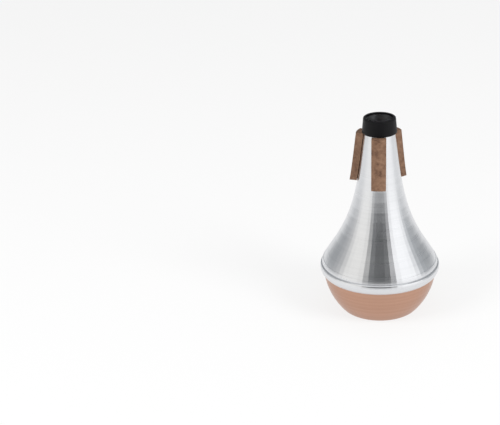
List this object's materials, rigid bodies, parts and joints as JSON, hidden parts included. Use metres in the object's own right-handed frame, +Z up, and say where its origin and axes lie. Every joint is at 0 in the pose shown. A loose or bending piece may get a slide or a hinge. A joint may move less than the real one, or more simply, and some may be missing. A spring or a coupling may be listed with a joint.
{
  "type": "trumpet straight mute",
  "caption": "Straight mute for a trumpet bell: a spun aluminium shell with a rolled hem, a spun copper end cup, a black throat collar and cork strips.",
  "frame": {"origin": "middle of the flat base of the copper cup, which the mute stands on", "axes": "+Z up the mute's axis from the wide closed end to the open neck, -Y towards the front cork strip"},
  "size_m": [0.089, 0.089, 0.1504],
  "materials": {
    "spun_aluminium": "fine circumferential brush marks from spinning, clear satin",
    "spun_copper": "spun and brushed copper, satin, a little darkened at its edges",
    "black_collar": "smooth matte black",
    "cork": "agglomerated natural cork, worn and dull"
  },
  "bodies": {
    "root": {"body_shell": "spun_aluminium", "end_cup": "spun_copper", "throat_collar": "black_collar", "cork_strip_front": "cork", "cork_strip_left": "cork", "cork_strip_right": "cork"}
  },
  "joints": []
}
